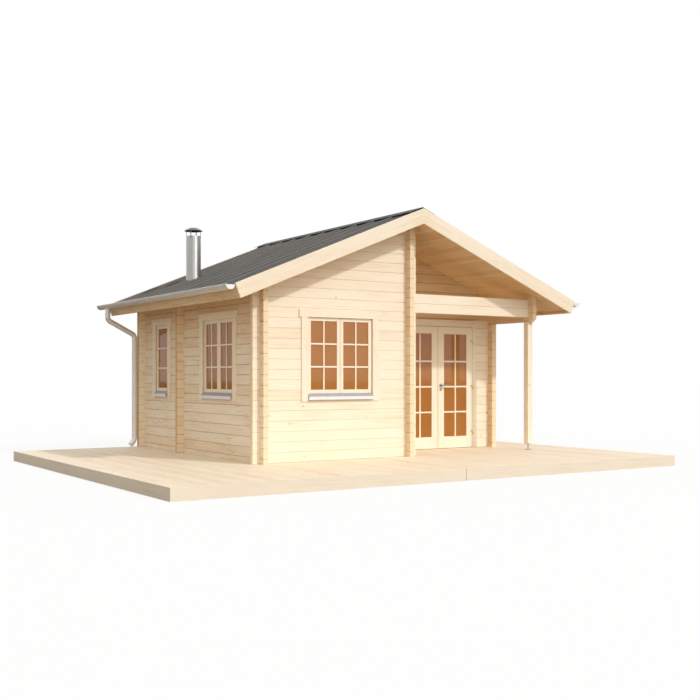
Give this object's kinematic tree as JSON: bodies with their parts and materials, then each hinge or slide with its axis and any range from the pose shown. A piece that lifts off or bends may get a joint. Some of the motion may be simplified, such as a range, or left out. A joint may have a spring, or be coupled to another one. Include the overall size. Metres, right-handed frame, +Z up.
{
  "type": "log sauna summer house",
  "caption": "Gabled log sauna cabin with a corner porch, glazed double doors, small-paned windows, a dark seamed roof, a steel flue and a wide timber deck.",
  "frame": {"origin": "the cabin's front left corner on the ground, where the outer faces of the front and left walls meet", "axes": "+Z up, +X along the front to the right, +Y from the front to the back"},
  "size_m": [7.559, 6.184, 3.5529],
  "materials": {
    "outdoor_wood": "planed, unpainted",
    "log_wood": "planed, clear",
    "board_wood": "planed, clear",
    "joinery_wood": "fine sanded, clear",
    "roof_sheet": "satin",
    "rainwater_sheet": "satin",
    "flashing": "satin",
    "stainless": "brushed",
    "galvanised": "galvanised",
    "handle_metal": "satin",
    "glazing": "clear double glazing"
  },
  "bodies": {
    "house": {"deck_boards": "outdoor_wood", "deck_fascia": "outdoor_wood", "deck_frame": "outdoor_wood", "front_wall": "log_wood", "left_wall": "log_wood", "back_wall": "log_wood", "right_wall": "log_wood", "wing_wall": "log_wood", "porch_wall_left": "log_wood", "porch_wall_right": "log_wood", "porch_wall_over_door": "log_wood", "partition_left": "log_wood", "partition_right": "log_wood", "partition_over_door": "log_wood", "front_beam": "log_wood", "side_beam": "log_wood", "floor": "board_wood", "ceiling": "board_wood", "rafters": "board_wood", "porch_post": "board_wood", "barge_front": "board_wood", "barge_back": "board_wood", "eave_boards": "board_wood", "window_frames": "joinery_wood", "window_trims": "joinery_wood", "door_frame": "joinery_wood", "door_trim": "joinery_wood", "roof_left": "roof_sheet", "roof_right": "roof_sheet", "ridge_cap": "roof_sheet", "gutters": "rainwater_sheet", "downpipes": "rainwater_sheet", "window_sills": "flashing", "chimney_pipe": "stainless", "chimney_cap": "stainless", "post_foot": "galvanised", "door_hinges": "handle_metal", "window_glass": "glazing"},
    "left_leaf": {"door_leaf_left": "joinery_wood", "door_glass_left": "glazing", "leaf_fittings_left": "handle_metal"},
    "right_leaf": {"door_leaf_right": "joinery_wood", "door_glass_right": "glazing", "leaf_fittings_right": "handle_metal"},
    "lever": {"door_lever": "handle_metal"}
  },
  "joints": [
    {"name": "right_leaf_hinge", "type": "hinge", "parent": "house", "child": "right_leaf", "pos_m": [4.223, 0.897, 1.083], "axis": [0, 0, 1], "range_deg": [0, 110]},
    {"name": "left_leaf_hinge", "type": "hinge", "parent": "house", "child": "left_leaf", "pos_m": [2.871, 0.897, 1.083], "axis": [0, 0, -1], "range_deg": [0, 110]},
    {"name": "lever_turn", "type": "hinge", "parent": "right_leaf", "child": "lever", "pos_m": [3.60125, 0.925, 1.114], "axis": [0, 1, 0], "range_deg": [0, 40], "stiffness_Nm_per_rad": 1.5, "springref_deg": -17.19}
  ]
}
